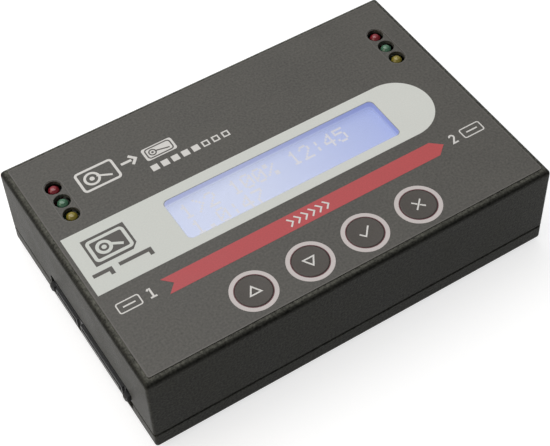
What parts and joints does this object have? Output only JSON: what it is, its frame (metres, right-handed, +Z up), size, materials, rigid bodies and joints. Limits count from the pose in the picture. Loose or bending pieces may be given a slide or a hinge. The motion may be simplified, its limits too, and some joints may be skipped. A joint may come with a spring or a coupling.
{
  "type": "hard drive duplicator",
  "caption": "Palm-size hard drive duplicator: flat steel housing with a drive socket on each side, a two-line display, round keys and status lamps on top.",
  "frame": {"origin": "centre of the whole product's footprint, on the surface its rubber feet stand on", "axes": "+X to the target side (right), +Y to the back where the power jack is, +Z up"},
  "size_m": [0.119, 0.0806, 0.029],
  "materials": {
    "painted_steel": "fine matt powder paint",
    "printed_film": "fine grained polycarbonate film",
    "clear_lens": "clear polished acrylic",
    "blackened_steel": "satin black",
    "display_glass": "pale blue behind glass",
    "light_guide": "white diffuser",
    "circuit_board": "green solder mask",
    "black_plastic": "moulded, slightly glossy",
    "key_plastic": "fine matt",
    "red_lamp": "tinted diffused resin",
    "green_lamp": "tinted diffused resin",
    "yellow_lamp": "tinted diffused resin",
    "bare_steel": "nickel plated",
    "black_screw_steel": "black oxide",
    "brass": "plain turned",
    "foot_rubber": "matt",
    "ferrite": "sintered",
    "aluminium_can": "bare top, lacquered sleeve",
    "red_lead": "PVC",
    "black_lead": "PVC"
  },
  "bodies": {
    "housing": {"top_cover": "painted_steel", "base_pan": "painted_steel", "graphic_film": "printed_film", "display_lens": "clear_lens", "display_frame": "blackened_steel", "display_glass": "display_glass", "display_backlight": "light_guide", "main_board": "circuit_board", "panel_board": "circuit_board", "board_connector": "black_plastic", "drive_socket_source": "black_plastic", "drive_socket_target": "black_plastic", "power_jack": "black_plastic", "switch_housing": "black_plastic", "controller_chip": "black_plastic", "memory_chip": "black_plastic", "lamp_block_left": "black_plastic", "lamp_block_right": "black_plastic", "push_switch_up": "black_plastic", "push_switch_down": "black_plastic", "push_switch_ok": "black_plastic", "push_switch_esc": "black_plastic", "lamp_red_left": "red_lamp", "lamp_red_right": "red_lamp", "lamp_green_left": "green_lamp", "lamp_green_right": "green_lamp", "lamp_yellow_left": "yellow_lamp", "lamp_yellow_right": "yellow_lamp", "power_jack_pin": "bare_steel", "clock_crystal": "bare_steel", "board_screw_front_left": "bare_steel", "board_screw_front_right": "bare_steel", "board_screw_back_left": "bare_steel", "board_screw_back_right": "bare_steel", "cover_screw_front_left": "black_screw_steel", "cover_screw_front_right": "black_screw_steel", "cover_screw_back_left": "black_screw_steel", "cover_screw_back_right": "black_screw_steel", "board_spacer_front_left": "brass", "board_spacer_front_right": "brass", "board_spacer_back_left": "brass", "board_spacer_back_right": "brass", "foot_front_left": "foot_rubber", "foot_front_right": "foot_rubber", "foot_back_left": "foot_rubber", "foot_back_right": "foot_rubber", "power_coil": "ferrite", "power_capacitor": "aluminium_can", "switch_lead_red": "red_lead", "switch_lead_black": "black_lead"},
    "button_up": {"key_up": "key_plastic", "push_switch_plunger_up": "black_plastic"},
    "button_down": {"key_down": "key_plastic", "push_switch_plunger_down": "black_plastic"},
    "button_ok": {"key_ok": "key_plastic", "push_switch_plunger_ok": "black_plastic"},
    "button_esc": {"key_esc": "key_plastic", "push_switch_plunger_esc": "black_plastic"},
    "power_rocker": {"switch_rocker": "black_plastic"}
  },
  "joints": [
    {"name": "button_up_press", "type": "slide", "parent": "housing", "child": "button_up", "axis": [0, 0, -1], "range_m": [0, 0.0004], "stiffness_N_per_m": 1000},
    {"name": "button_down_press", "type": "slide", "parent": "housing", "child": "button_down", "axis": [0, 0, -1], "range_m": [0, 0.0004], "stiffness_N_per_m": 1000},
    {"name": "button_ok_press", "type": "slide", "parent": "housing", "child": "button_ok", "axis": [0, 0, -1], "range_m": [0, 0.0004], "stiffness_N_per_m": 1000},
    {"name": "button_esc_press", "type": "slide", "parent": "housing", "child": "button_esc", "axis": [0, 0, -1], "range_m": [0, 0.0004], "stiffness_N_per_m": 1000},
    {"name": "power_rocker_pivot", "type": "hinge", "parent": "housing", "child": "power_rocker", "pos_m": [-0.014, 0.03635, 0.0183], "axis": [0, 0, 1], "range_deg": [0, 18]}
  ]
}
